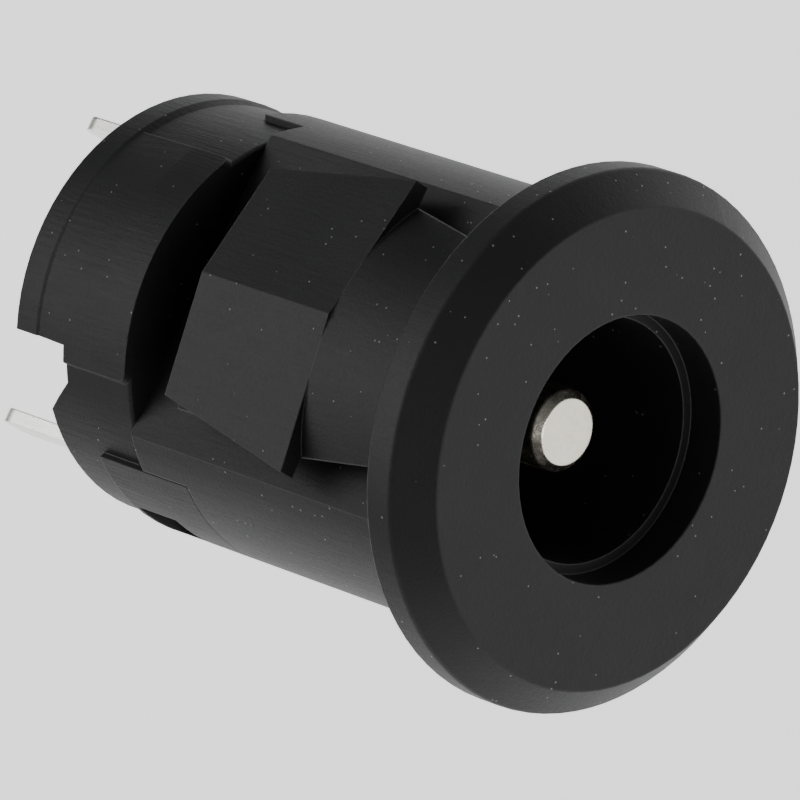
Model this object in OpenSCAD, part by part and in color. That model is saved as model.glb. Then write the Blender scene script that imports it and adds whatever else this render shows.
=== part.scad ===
// Snap-in panel jack for a barrel power plug, with a centre pin and a sleeve contact.
// All sizes are in millimetres. +Y points from the panel into the enclosure, +Z is up.
// The origin is the centre of the face of the flange that rests on the panel.
// The two spring arms are at the top and the bottom, the solder lugs at the two sides.

/* [Plug bore] */
// Diameter of the plug bore
bore_d = 5.9; // [5.6:0.1:7.2]
// Width of the step between the bore and its wider mouth
mouth_step = 0.25; // [0.1:0.05:0.4]
// Depth of the mouth, from the front face
mouth_l = 1; // [0.6:0.1:1.6]
// Depth of the plug bore, from the front face to its floor
bore_depth = 10.2; // [9.5:0.1:10.8]

/* [Flange] */
// How far the flange stands out from the barrel
flange_lip = 1.25; // [0.8:0.05:3]
// Thickness of the flange, from the panel to its front face
flange_t = 1.6; // [1.2:0.1:3]
// Length of the straight rim, before the cone starts
rim_t = 0.8; // [0.4:0.1:1]
// Width of the cone round the flat front face
cone_w = 0.75; // [0.3:0.05:1]

/* [Barrel and spring arms] */
// Length of the housing behind the panel
barrel_l = 9.9; // [9.4:0.1:13]
// Wall between the plug bore and the floor of the slot under each arm
slot_wall = 0.5; // [0.4:0.05:0.8]
// Width of the slot, from its floor to the underside of the arm
slot_gap = 0.7; // [0.5:0.05:0.9]
// Thickness of the spring arm at its middle
arm_t = 1.1; // [0.9:0.05:1.4]
// Length of the closed collar between the flange and the slots
collar_l = 0.8; // [0.5:0.1:1.2]
// Distance from the panel face to the shoulder that grips the panel
grip_l = 3.6; // [2.8:0.1:4.5]
// Distance from the panel face to the free end of the arm
arm_l = 8.05; // [6.5:0.05:8.8]
// How far the ridge of the wedge stands out from the barrel
ridge_rise = 0.08; // [0.02:0.02:0.8]
// Half of the width of the wedge at the shoulder
wedge_w = 3.75; // [3.4:0.05:3.9]
// Half of the width of the wedge at the free end of the arm
wedge_end_w = 2.95; // [2.4:0.05:3.4]
// Fall of the wedge from its ridge to its corner at the shoulder
wedge_fall = 0.75; // [0.2:0.05:0.85]
// How much the outside of the neck draws in towards the collar
neck_draw = 0.25; // [0.1:0.05:0.4]

/* [Terminal block] */
// How far the drum of the terminal block lies below the barrel's outside
drum_step = 0.17; // [0.05:0.01:0.3]
// Length of the drum, from the housing to its rear face
drum_l = 3.1; // [2.8:0.1:5]
// Height of the raised rim behind the rear face
rim_h = 1; // [0.6:0.1:1.5]
// Half of the angle of the low part of the rim, round the sleeve lug
gap_angle = 60; // [45:1:70]
// Width of the notch at each end of the low part
notch_w = 0.95; // [0.8:0.05:1.6]
// Depth of each notch below the rear face
notch_depth = 0.8; // [0.4:0.1:1.2]
// Half of the width of the raised pads behind the arms
pad_w = 2.95; // [2.4:0.05:3.2]
// Half of the angle that the locating tongues cover
tongue_angle = 30; // [20:1:34]
// Length of the tongue of the housing
tongue_l = 1.35; // [0.8:0.05:2]
// Length of the tongue of the terminal block
block_tongue_l = 1.65; // [1:0.05:2]

/* [Centre pin] */
// Diameter of the centre pin
pin_d = 2; // [1.9:0.05:2.5]
// Diameter of the flat end of the pin
pin_flat_d = 1.6; // [1:0.05:1.8]
// Distance from the front face to the end of the pin
pin_recess = 1.8; // [0.5:0.1:3]
// Diameter of the collar that the pin stands on
pin_collar_d = 3.2; // [2.8:0.1:3.8]
// Thickness of that collar
pin_collar_t = 0.5; // [0.3:0.1:0.8]
// Diameter of the tail that is riveted over
pin_tail_d = 1.5; // [1:0.1:1.7]

/* [Contacts] */
// Thickness of the contact strip
strip_t = 0.35; // [0.25:0.05:0.45]
// Width of the solder lugs
lug_w = 1; // [0.8:0.1:1.6]
// Depth of the sleeve contact below the barrel's outside, to the middle of the strip
sleeve_inset = 1.18; // [1.1:0.02:1.3]
// Distance of the pin lug from the axis
pin_lug_x = 3.45; // [3:0.05:3.7]
// Distance from the panel face to the end of the sleeve lug
sleeve_tip = 17.6; // [16:0.1:22]
// Distance from the panel face to the end of the pin lug
pin_tip = 19.4; // [16:0.1:23]
// Width of the spring of the sleeve contact
spring_w = 1.7; // [1.2:0.1:1.9]

/* [Hidden] */
$fn = 96;
fit_gap = 0.03;                        // clearance between pieces that slide together
cut = 0.5;                             // how far a cutter runs past the material
edge_r = 0.08;                         // break on ordinary moulded edges
rim_r = 0.2;                           // round on the front edge of the flange rim
round_steps = 4;                       // flats in each rounded corner of a profile
bore_r = bore_d / 2;
slot_floor = bore_r + slot_wall;
arm_under = slot_floor + slot_gap;
barrel_r = arm_under + arm_t;
flange_r = barrel_r + flange_lip;
ridge_h = barrel_r + ridge_rise;
far_r = 2 * flange_r;                  // safely outside the whole part
face_z = -flange_t;
floor_z = face_z + bore_depth;
drum_r = barrel_r - drum_step;
sleeve_x = barrel_r - sleeve_inset;
drum_z = barrel_l;
rear_z = drum_z + drum_l;
rim_z = rear_z + rim_h;
rim_wall = 1.1;                        // thickness of the raised rim
spring_pocket_w = spring_w + 0.5;
spring_pocket_r = sleeve_x + strip_t / 2 + 0.1;
spring_pocket_z = 2.2;                 // front end of the spring's pocket
tongue_wall_r = spring_pocket_r + 0.12;
spigot_r = bore_r - fit_gap;
strip_hole_w = lug_w + 2 * fit_gap;
rivet_r = pin_tail_d / 2 + 0.5;
rivet_h = 0.4;

// The corner b of a path a, b, c, rounded with radius r.
function corner(a, b, c, r, n = round_steps) =
    let (u = (a - b) / norm(a - b), v = (c - b) / norm(c - b))
    let (half = acos(u * v) / 2, reach = r / tan(half))
    let (p = b + u * reach, q = b + v * reach)
    let (mid = b + (u + v) / norm(u + v) * (r / sin(half)))
    let (a0 = atan2(p.y - mid.y, p.x - mid.x), a1 = atan2(q.y - mid.y, q.x - mid.x))
    let (turn = (a1 - a0 + 540) % 360 - 180)
    [for (i = [0:n]) mid + r * [cos(a0 + turn * i / n), sin(a0 + turn * i / n)]];

// A closed outline from points [x, y, r], where r rounds that corner and 0 leaves it sharp.
function rounded(pts) =
    let (k = len(pts), xy = [for (p = pts) [p[0], p[1]]])
    [for (i = [0:k - 1]) each pts[i][2] > 0
        ? corner(xy[(i + k - 1) % k], xy[i], xy[(i + 1) % k], pts[i][2])
        : [xy[i]]];

// Turns a shape that is drawn round the Z axis, so that its axis points along +Y.
module along_y() {
    rotate([-90, 0, 0]) children();
}

// The shape and its mirror image, for the top and the bottom arm.
module both_arms() {
    for (side = [0, 1]) mirror([0, side, 0]) children();
}

// A ring sector about the X axis direction, from radius r0 to r1 and from z0 to z1.
module ring_sector(r0, r1, z0, z1, half_angle) {
    reach = far_r * [cos(half_angle), sin(half_angle)];
    intersection() {
        translate([0, 0, z0]) difference() {
            cylinder(r = r1, h = z1 - z0);
            translate([0, 0, -cut]) cylinder(r = r0, h = z1 - z0 + 2 * cut);
        }
        translate([0, 0, z0 - cut]) linear_extrude(z1 - z0 + 2 * cut)
            polygon([[0, 0], [reach.x, -reach.y], [far_r, -reach.y], [far_r, reach.y], reach]);
    }
}

// ---- housing ----

// Flange and barrel, turned in one profile round the plug bore and its wider mouth.
module housing_shell() {
    rotate_extrude() polygon(rounded([
        [bore_r, face_z + mouth_l, 0],
        [bore_r + mouth_step, face_z + mouth_l, 0],
        [bore_r + mouth_step, face_z, edge_r / 2],
        [flange_r - cone_w, face_z, edge_r],
        [flange_r, -rim_t, rim_r],
        [flange_r, 0, edge_r],
        [barrel_r, 0, 0],
        [barrel_r, barrel_l, edge_r],
        [bore_r, barrel_l, 0]]));
}

// The wedge: a roof with its ridge along the arm, cut to a plan that widens towards the shoulder.
module wedge() {
    eaves_h = ridge_h - wedge_fall;
    intersection() {
        translate([0, 0, grip_l]) linear_extrude(arm_l - grip_l)
            polygon([[-wedge_w, arm_under], [wedge_w, arm_under], [wedge_w, eaves_h],
                     [0, ridge_h], [-wedge_w, eaves_h]]);
        translate([0, arm_under - cut, 0]) rotate([-90, 0, 0]) mirror([0, 1, 0]) linear_extrude(far_r)
            polygon([[-wedge_w, grip_l], [wedge_w, grip_l], [wedge_end_w, arm_l], [-wedge_end_w, arm_l]]);
    }
}

// The slot under one arm, open to both sides and to the rear, with a round root.
module arm_slot() {
    root_z = collar_l + slot_gap / 2;
    translate([-far_r, slot_floor, root_z]) cube([2 * far_r, slot_gap, barrel_l]);
    translate([-far_r, slot_floor + slot_gap / 2, root_z]) rotate([0, 90, 0])
        cylinder(d = slot_gap, h = 2 * far_r);
    translate([-far_r, slot_floor, arm_l]) cube([2 * far_r, far_r, barrel_l]);
}

// What is turned off the outside of the neck, and off the arm under the wedge.
module neck_relief() {
    under_wedge_r = barrel_r - edge_r;
    intersection() {
        rotate_extrude() polygon([[barrel_r - neck_draw, collar_l], [barrel_r, grip_l],
            [under_wedge_r, grip_l], [under_wedge_r, arm_l], [far_r, arm_l], [far_r, collar_l]]);
        translate([-far_r, arm_under - slot_gap / 2, collar_l]) cube([2 * far_r, far_r, arm_l]);
    }
}

// The pocket in the bore wall that the sleeve contact springs back into.
module spring_pocket() {
    translate([-spring_pocket_r, -spring_pocket_w / 2, spring_pocket_z])
        cube([spring_pocket_r, spring_pocket_w, barrel_l]);
}

module housing() {
    color("#1d1d1f") along_y() {
        difference() {
            housing_shell();
            both_arms() {
                arm_slot();
                neck_relief();
            }
            spring_pocket();
            mirror([1, 0, 0]) ring_sector(tongue_wall_r, far_r, barrel_l - block_tongue_l,
                barrel_l + cut, tongue_angle);
        }
        both_arms() wedge();
        ring_sector(tongue_wall_r, barrel_r, barrel_l - edge_r, barrel_l + tongue_l, tongue_angle);
    }
}

// ---- terminal block ----

// Drum with the raised rim round its rear face, and the spigot that closes the plug bore.
module block_drum() {
    rim_r1 = barrel_r - edge_r;
    rotate_extrude() polygon(rounded([
        [0, floor_z, 0],
        [spigot_r, floor_z, edge_r],
        [spigot_r, drum_z, 0],
        [drum_r, drum_z, edge_r],
        [drum_r, rear_z, 0],
        [rim_r1, rear_z + rim_h / 4, edge_r],
        [rim_r1, rim_z, edge_r],
        [rim_r1 - rim_wall, rim_z, edge_r],
        [rim_r1 - rim_wall, rear_z, 0],
        [0, rear_z, 0]]));
}

// The two pads that carry the barrel's outside on behind the arms, with a long lead-in.
module pads() {
    lead = drum_l * 0.4;
    intersection() {
        rotate_extrude() polygon([[drum_r - 1, drum_z], [barrel_r, drum_z],
            [barrel_r, drum_z + lead], [drum_r, rim_z], [drum_r - 1, rim_z]]);
        translate([0, far_r, drum_z]) rotate([90, 0, 0]) linear_extrude(2 * far_r)
            polygon(rounded([[-pad_w, 0, rim_r], [pad_w, 0, rim_r], [pad_w, rim_h + drum_l, 0],
                             [-pad_w, rim_h + drum_l, 0]]));
    }
}

// Lowers the rim round the sleeve lug, and cuts a notch with one sloped side at each end.
module rim_gap() {
    inner_r = drum_r - rim_wall - cut;
    top = rim_h + cut;
    within_notch = asin(notch_w / drum_r) / 2;
    mirror([1, 0, 0]) ring_sector(inner_r, far_r, rear_z, rim_z + cut, gap_angle - within_notch);
    for (side = [0, 1]) mirror([0, side, 0]) rotate([0, 0, 180 - gap_angle])
        translate([inner_r, 0, rear_z]) rotate([90, 0, 90]) linear_extrude(far_r)
            polygon([[0, top], [0, -notch_depth], [notch_w, -notch_depth],
                     [2 * notch_w, edge_r], [2 * notch_w, top]]);
}

module terminal_block() {
    window_l = 1.4;
    window_w = 1.8;
    window_depth = 0.5;
    color("#19191b") along_y() difference() {
        union() {
            block_drum();
            pads();
            mirror([1, 0, 0]) ring_sector(tongue_wall_r + fit_gap, barrel_r, barrel_l - block_tongue_l + fit_gap,
                drum_z + drum_l / 2, tongue_angle - 0.5);
        }
        rim_gap();
        ring_sector(tongue_wall_r - fit_gap, far_r, drum_z - cut, barrel_l + tongue_l + fit_gap,
            tongue_angle + 0.5);
        translate([-sleeve_x - strip_t / 2 - fit_gap, -strip_hole_w / 2, drum_z - cut])
            cube([strip_t + 2 * fit_gap, strip_hole_w, drum_l + 2 * cut]);
        translate([-far_r, -window_w / 2, drum_z])
            cube([far_r - barrel_r + window_depth, window_w, window_l]);
        translate([0, 0, floor_z - cut]) cylinder(d = pin_tail_d + 2 * fit_gap, h = drum_l + barrel_l);
    }
}

// ---- metal parts ----

// Turned pin: a chamfered end, the collar that stands on the bore's floor and the riveted tail.
module centre_pin() {
    tip_z = face_z + pin_recess;
    lead = (pin_d - pin_flat_d) / 2;
    head_z = rear_z + strip_t;
    color("#cfc9bd") along_y() rotate_extrude() polygon(rounded([
        [0, tip_z, 0],
        [pin_flat_d / 2, tip_z, lead / 4],
        [pin_d / 2, tip_z + lead, lead / 2],
        [pin_d / 2, floor_z - pin_collar_t, 0],
        [pin_collar_d / 2, floor_z - pin_collar_t, edge_r],
        [pin_collar_d / 2, floor_z, 0],
        [pin_tail_d / 2, floor_z, 0],
        [pin_tail_d / 2, head_z, 0],
        [rivet_r, head_z, 0],
        [rivet_r, head_z + rivet_h, rivet_h * 0.8],
        [0, head_z + rivet_h, 0]]));
}

// Flat lug outline with a round end, from the origin along +Y.
module lug_outline(length, width) {
    translate([-width / 2, 0]) square([width, length - width / 2]);
    translate([0, length - width / 2]) circle(d = width);
}

// Solder lug of the centre pin: a ring under the rivet head, an arm and a bent-up end.
module pin_lug() {
    ring_d = pin_collar_d;
    bend_r = strip_t;
    color("#c9c7c0") along_y() {
        difference() {
            union() {
                translate([0, 0, rear_z]) cylinder(d = ring_d, h = strip_t);
                translate([0, -lug_w / 2, rear_z]) cube([pin_lug_x - bend_r, lug_w, strip_t]);
            }
            translate([0, 0, rear_z - cut]) cylinder(d = pin_tail_d + 2 * fit_gap, h = strip_t + 2 * cut);
        }
        translate([pin_lug_x - bend_r, lug_w / 2, rear_z + strip_t / 2 + bend_r]) rotate([90, 0, 0])
            rotate([0, 0, -90]) linear_extrude(lug_w) bend_outline(bend_r);
        translate([pin_lug_x + strip_t / 2, 0, rear_z + strip_t / 2 + bend_r]) rotate([90, 0, -90])
            linear_extrude(strip_t) lug_outline(pin_tip - rear_z - strip_t / 2 - bend_r, lug_w);
    }
}

// A quarter ring: the strip bent through a right angle, with its middle line at radius r.
module bend_outline(r) {
    intersection() {
        difference() {
            circle(r = r + strip_t / 2);
            circle(r = r - strip_t / 2);
        }
        square(r + strip_t);
    }
}

// Side view of the sleeve contact's spring: it leans into the bore and turns out again at its end.
module spring_outline() {
    half = strip_t / 2;
    crest_x = bore_r - 0.3;
    crest_z = 4.4;
    tip_x = bore_r + 0.2;
    tip_z = spring_pocket_z + 0.4;
    root_z = 9;
    polygon([[-sleeve_x - half, drum_z], [-sleeve_x - half, root_z], [-crest_x - 2 * half, crest_z],
             [-tip_x - 2 * half, tip_z], [-tip_x, tip_z], [-crest_x, crest_z],
             [-sleeve_x + half, root_z], [-sleeve_x + half, drum_z]]);
}

// Sleeve contact: the spring in the bore wall, and the lug that leaves through the block.
module sleeve_contact() {
    color("#c9c7c0") along_y() {
        translate([0, spring_w / 2, 0]) rotate([90, 0, 0]) linear_extrude(spring_w) spring_outline();
        translate([-sleeve_x + strip_t / 2, 0, drum_z - cut]) rotate([90, 0, -90])
            linear_extrude(strip_t) lug_outline(sleeve_tip - drum_z + cut, lug_w);
    }
}

housing();
terminal_block();
centre_pin();
pin_lug();
sleeve_contact();
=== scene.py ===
import bpy
import numpy as np
from mathutils import Matrix, Vector


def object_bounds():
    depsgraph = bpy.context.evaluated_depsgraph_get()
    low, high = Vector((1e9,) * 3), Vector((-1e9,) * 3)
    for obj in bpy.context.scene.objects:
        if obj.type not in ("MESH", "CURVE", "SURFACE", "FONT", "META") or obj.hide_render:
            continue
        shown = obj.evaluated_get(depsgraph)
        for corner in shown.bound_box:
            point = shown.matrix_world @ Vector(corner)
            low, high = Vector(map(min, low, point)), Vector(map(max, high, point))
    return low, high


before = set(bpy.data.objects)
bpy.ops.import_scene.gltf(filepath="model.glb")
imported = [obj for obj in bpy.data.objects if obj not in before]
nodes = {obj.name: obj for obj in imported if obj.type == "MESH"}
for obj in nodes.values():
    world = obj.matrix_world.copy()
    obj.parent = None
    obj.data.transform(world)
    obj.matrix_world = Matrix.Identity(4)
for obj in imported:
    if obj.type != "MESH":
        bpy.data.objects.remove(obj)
MM = 0.001
cad_box = [[float(v) for v in corner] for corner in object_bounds()]


# ---- Camera ----
# A long lens looks at the jack from in front and above.
# The camera is rolled, as the jack lies turned about its own axis in the view.

def view_matrix(azimuth, elevation, roll, distance, aim):
    """Camera matrix: back = (sin a cos e, -cos a cos e, sin e), turned by roll about the line of sight."""
    a, e, r = np.radians([azimuth, elevation, roll])
    back = np.array([np.sin(a) * np.cos(e), -np.cos(a) * np.cos(e), np.sin(e)])
    level = np.array([np.cos(a), np.sin(a), 0])
    upright = np.cross(back, level)
    right = np.cos(r) * level + np.sin(r) * upright
    up = np.cross(back, right)
    matrix = np.eye(4)
    matrix[:3, 0] = right
    matrix[:3, 1] = up
    matrix[:3, 2] = back
    matrix[:3, 3] = np.array(aim) + back * distance
    return Matrix(matrix.tolist())


camera = bpy.data.objects.new("camera", bpy.data.cameras.new("camera"))
bpy.context.collection.objects.link(camera)
camera.data.lens = 405
camera.data.sensor_width = 36
camera.data.clip_start = 0.01
camera.matrix_world = view_matrix(azimuth=-8.7, elevation=44.5, roll=-58.9, distance=208.6 * MM,
                                  aim=np.array([-0.97, 2.89, 2.75]) * MM)
bpy.context.scene.camera = camera


# ---- Light ----
# Five broad, soft panels stand round the jack, in a dim and slightly cool surround.
# Those at the left, top and front of the view are about as strong, and the other two only fill.

def panel(name, place, size, power):
    """A square area light at place, turned towards the origin, with its place and size in metres."""
    light = bpy.data.lights.new(name, "AREA")
    light.shape = "SQUARE"
    light.size = size
    light.energy = power
    lamp = bpy.data.objects.new(name, light)
    bpy.context.collection.objects.link(lamp)
    lamp.location = place
    lamp.rotation_euler = (-Vector(place)).to_track_quat("-Z", "Y").to_euler()


def from_view(right, up, back, distance):
    """A place that lies right, up and back of the origin, as the camera sees it."""
    turn = np.array(camera.matrix_world)[:3, :3]
    way = turn @ np.array([right, up, back], float)
    return Vector(way / np.linalg.norm(way) * distance)


panel("left_panel", from_view(right=-1, up=0.15, back=0.1, distance=0.35), size=0.3, power=0.96)
panel("right_panel", from_view(right=1, up=-0.3, back=0.15, distance=0.4), size=0.3, power=0.32)
panel("top_panel", (0.1, 0.15, 0.5), size=0.5, power=1.09)
panel("front_panel", from_view(right=0.5, up=-0.4, back=1, distance=0.5), size=0.3, power=1.0)
panel("low_panel", from_view(right=-0.5, up=-1, back=0.1, distance=0.4), size=0.3, power=0.18)

surround = bpy.data.worlds.new("surround")
surround.use_nodes = True
background = surround.node_tree.nodes["Background"]
background.inputs["Color"].default_value = (0.95, 0.97, 1, 1)
background.inputs["Strength"].default_value = 0.15
bpy.context.scene.world = surround


# ---- Housing ----
# One moulding of black plastic: flange, barrel and the two sprung arms.
# The mould leaves a fine grain, and handling leaves faint scratches and a few dust specks. The edges are
# painted paler: partly wear, partly a painted highlight along them.

class Field:
    """A value that changes over a surface: wraps a socket, and adds Math nodes for its operators."""

    def __init__(self, tree, socket):
        self.tree = tree
        self.socket = socket

    def math(self, operation, a, b):
        node = self.tree.nodes.new("ShaderNodeMath")
        node.operation = operation
        for place, value in zip(node.inputs, (a, b)):
            if isinstance(value, Field):
                self.tree.links.new(value.socket, place)
            else:
                place.default_value = value
        return Field(self.tree, node.outputs[0])

    def __add__(self, other):
        return self.math("ADD", self, other)

    def __radd__(self, other):
        return self.math("ADD", other, self)

    def __rsub__(self, other):
        return self.math("SUBTRACT", other, self)

    def __mul__(self, other):
        return self.math("MULTIPLY", self, other)

    def __rmul__(self, other):
        return self.math("MULTIPLY", other, self)

    def above(self, other):
        return self.math("GREATER_THAN", self, other)

    def below(self, other):
        return self.math("LESS_THAN", self, other)

    def least(self, other):
        return self.math("MINIMUM", self, other)


class Finish:
    """One material: its tree, its Principled shader, and short ways to add textures to it."""

    def __init__(self, name, metallic=0.0, roughness=0.5):
        self.material = bpy.data.materials.new(name)
        self.material.use_nodes = True
        self.tree = self.material.node_tree
        self.shader = self.tree.nodes["Principled BSDF"]
        self.shader.inputs["Metallic"].default_value = metallic
        self.shader.inputs["Roughness"].default_value = roughness
        self.place = self.node("ShaderNodeTexCoord").outputs["Object"]

    def node(self, kind, settings=None, **values):
        """Adds a node, sets its settings first, then its sockets' values or links."""
        node = self.tree.nodes.new(kind)
        for name, value in (settings or {}).items():
            setattr(node, name, value)
        for name, value in values.items():
            socket = node.inputs[name.replace("_", " ")]
            if isinstance(value, Field):
                self.tree.links.new(value.socket, socket)
            elif isinstance(value, bpy.types.NodeSocket):
                self.tree.links.new(value, socket)
            else:
                socket.default_value = value
        return node

    def field(self, socket):
        return Field(self.tree, socket)

    def grain(self, grains_per_mm, detail=3.0, stretch=(1, 1, 1), turn=(0, 0, 0)):
        """Noise of so many grains per millimetre, drawn out or turned by a mapping."""
        place = self.node("ShaderNodeMapping", Vector=self.place, Rotation=turn,
                          Scale=[s / MM for s in stretch]).outputs[0]
        noise = self.node("ShaderNodeTexNoise", Vector=place, Scale=grains_per_mm, Detail=detail)
        return self.field(noise.outputs["Fac"])

    def specks(self, cells_per_mm, radius, rarity):
        """1 inside a round speck, in those cells whose random number is above rarity."""
        place = self.node("ShaderNodeMapping", Vector=self.place, Scale=[1 / MM] * 3).outputs[0]
        cells = self.node("ShaderNodeTexVoronoi", Vector=place, Scale=cells_per_mm)
        near = self.field(cells.outputs["Distance"]).below(radius)
        number = self.field(self.node("ShaderNodeSeparateColor", Color=cells.outputs["Color"]).outputs[0])
        return near * number.above(rarity)

    def colour(self, dark, light, mask):
        """Goes from dark to light with the mask, where each is three numbers or a colour socket."""
        mix = self.node("ShaderNodeMix", {"data_type": "RGBA"})
        self.tree.links.new(mask.socket, mix.inputs["Factor"])
        colour_inputs = [socket for socket in mix.inputs if socket.type == "RGBA"]
        for place, value in zip(colour_inputs, (dark, light)):
            if isinstance(value, bpy.types.NodeSocket):
                self.tree.links.new(value, place)
            else:
                place.default_value = (*value, 1)
        return next(socket for socket in mix.outputs if socket.type == "RGBA")

    def rounded_normal(self, radius):
        """The surface's normal, rounded over edges with a radius in millimetres."""
        return self.node("ShaderNodeBevel", {"samples": 6}, Radius=radius * MM).outputs[0]

    def edge(self, radius, sharp=0.12):
        """1 along edges: where the rounded normal leaves the true one."""
        dot = self.node("ShaderNodeVectorMath", {"operation": "DOT_PRODUCT"})
        true_normal = self.node("ShaderNodeNewGeometry").outputs["Normal"]
        self.tree.links.new(self.rounded_normal(radius), dot.inputs[0])
        self.tree.links.new(true_normal, dot.inputs[1])
        return ((1 - self.field(dot.outputs["Value"])) * (1 / sharp)).least(1.0)

    def finish(self, colour, roughness=None, height=None, lift=0.01, edge_radius=0.05):
        """Links the finished textures, where height 1 stands lift millimetres above height 0."""
        self.tree.links.new(colour, self.shader.inputs["Base Color"])
        if roughness is not None:
            self.tree.links.new(roughness.socket, self.shader.inputs["Roughness"])
        normal = self.rounded_normal(edge_radius)
        if height is not None:
            normal = self.node("ShaderNodeBump", Strength=1.0, Distance=lift * MM, Height=height,
                               Normal=normal).outputs[0]
        self.tree.links.new(normal, self.shader.inputs["Normal"])
        return self.material


def dress(node, material):
    """Gives a CAD node its finished material in place of the plain one."""
    mesh = nodes[node].data
    mesh.materials.clear()
    mesh.materials.append(material)


def black_plastic(name, scuffs):
    """Satin black plastic, where scuffs says how deep its scratches are."""
    f = Finish(name)
    f.shader.inputs["Specular IOR Level"].default_value = 0.21
    patches = f.grain(0.6, detail=4)
    fine = f.grain(14)
    scratch = f.grain(9, detail=4, stretch=(1, 0.08, 1), turn=(0.3, 0.2, 0.5))
    dust = f.specks(cells_per_mm=5, radius=0.12, rarity=0.86)
    tone = f.colour((0.0059, 0.0059, 0.0064), (0.0108, 0.0108, 0.0117), patches)
    tone = f.colour(tone, (0.2, 0.2, 0.19), dust * 0.8)
    # Pale edges: a painted highlight along the rounded edges, partly standing for wear, broken up by the
    # fine grain.
    tone = f.colour(tone, (0.09, 0.09, 0.09), f.edge(0.05) * fine * 1.2)
    rough = 0.42 + fine * 0.16 + scratch * scuffs * 0.1
    height = fine * 0.6 + scratch * scuffs + dust * 1.5
    return f.finish(tone, rough, height, lift=0.012)


dress("housing", black_plastic("housing_plastic", scuffs=0.5))


# ---- Terminal block ----
# A second moulding of the same plastic, which closes the rear and carries the contacts.
# Its outside shows more scratches than the housing's.

dress("terminal_block", black_plastic("block_plastic", scuffs=1.0))


# ---- Centre pin ----
# A turned pin with a bright, slightly warm plating, riveted into the block.
# The tool leaves fine marks that change how rough it looks.

def plating(name, tint, rough):
    """Plated metal of a colour, with a roughness that follows drawn-out marks."""
    f = Finish(name, metallic=1.0, roughness=rough)
    tone = f.colour([c * 0.8 for c in tint], tint, f.grain(2, detail=4))
    marks = f.grain(6, detail=4, stretch=(1, 0.1, 1))
    return f.finish(tone, 0.1 + rough * marks, f.grain(20, detail=2), lift=0.003)


dress("centre_pin", plating("pin_metal", tint=(0.86, 0.8, 0.68), rough=0.3))


# ---- Contacts ----
# Two stamped and bent strips with a grey tin plating, which end in the solder lugs.
# One is riveted under the pin's head and the other is held in the block.

lug_metal = plating("lug_metal", tint=(0.8, 0.79, 0.76), rough=0.4)
dress("pin_lug", lug_metal)
dress("sleeve_contact", lug_metal)


# ---- Floor ----
# A matt white table, well below the part, since a jack held by its flange rests on nothing.
# It also gives off light of its own, which keeps it bright behind the dark part.

FLOOR_DROP = 34 * MM
FLOOR_REACH = 1.5
floor_z = cad_box[0][2] - FLOOR_DROP
corners = [(x * FLOOR_REACH, y * FLOOR_REACH, floor_z) for x, y in ((-1, -1), (1, -1), (1, 1), (-1, 1))]
floor_mesh = bpy.data.meshes.new("floor")
floor_mesh.from_pydata(corners, [], [(0, 1, 2, 3)])
floor = bpy.data.objects.new("floor", floor_mesh)
bpy.context.collection.objects.link(floor)

pale = Finish("pale_floor", roughness=0.9)
pale.shader.inputs["Emission Color"].default_value = (1, 1, 1, 1)
pale.shader.inputs["Emission Strength"].default_value = 0.85
pale_tone = pale.colour((0.9, 0.9, 0.9), (0.93, 0.93, 0.93), pale.grain(0.02))
floor_mesh.materials.append(pale.finish(pale_tone, edge_radius=0.0))
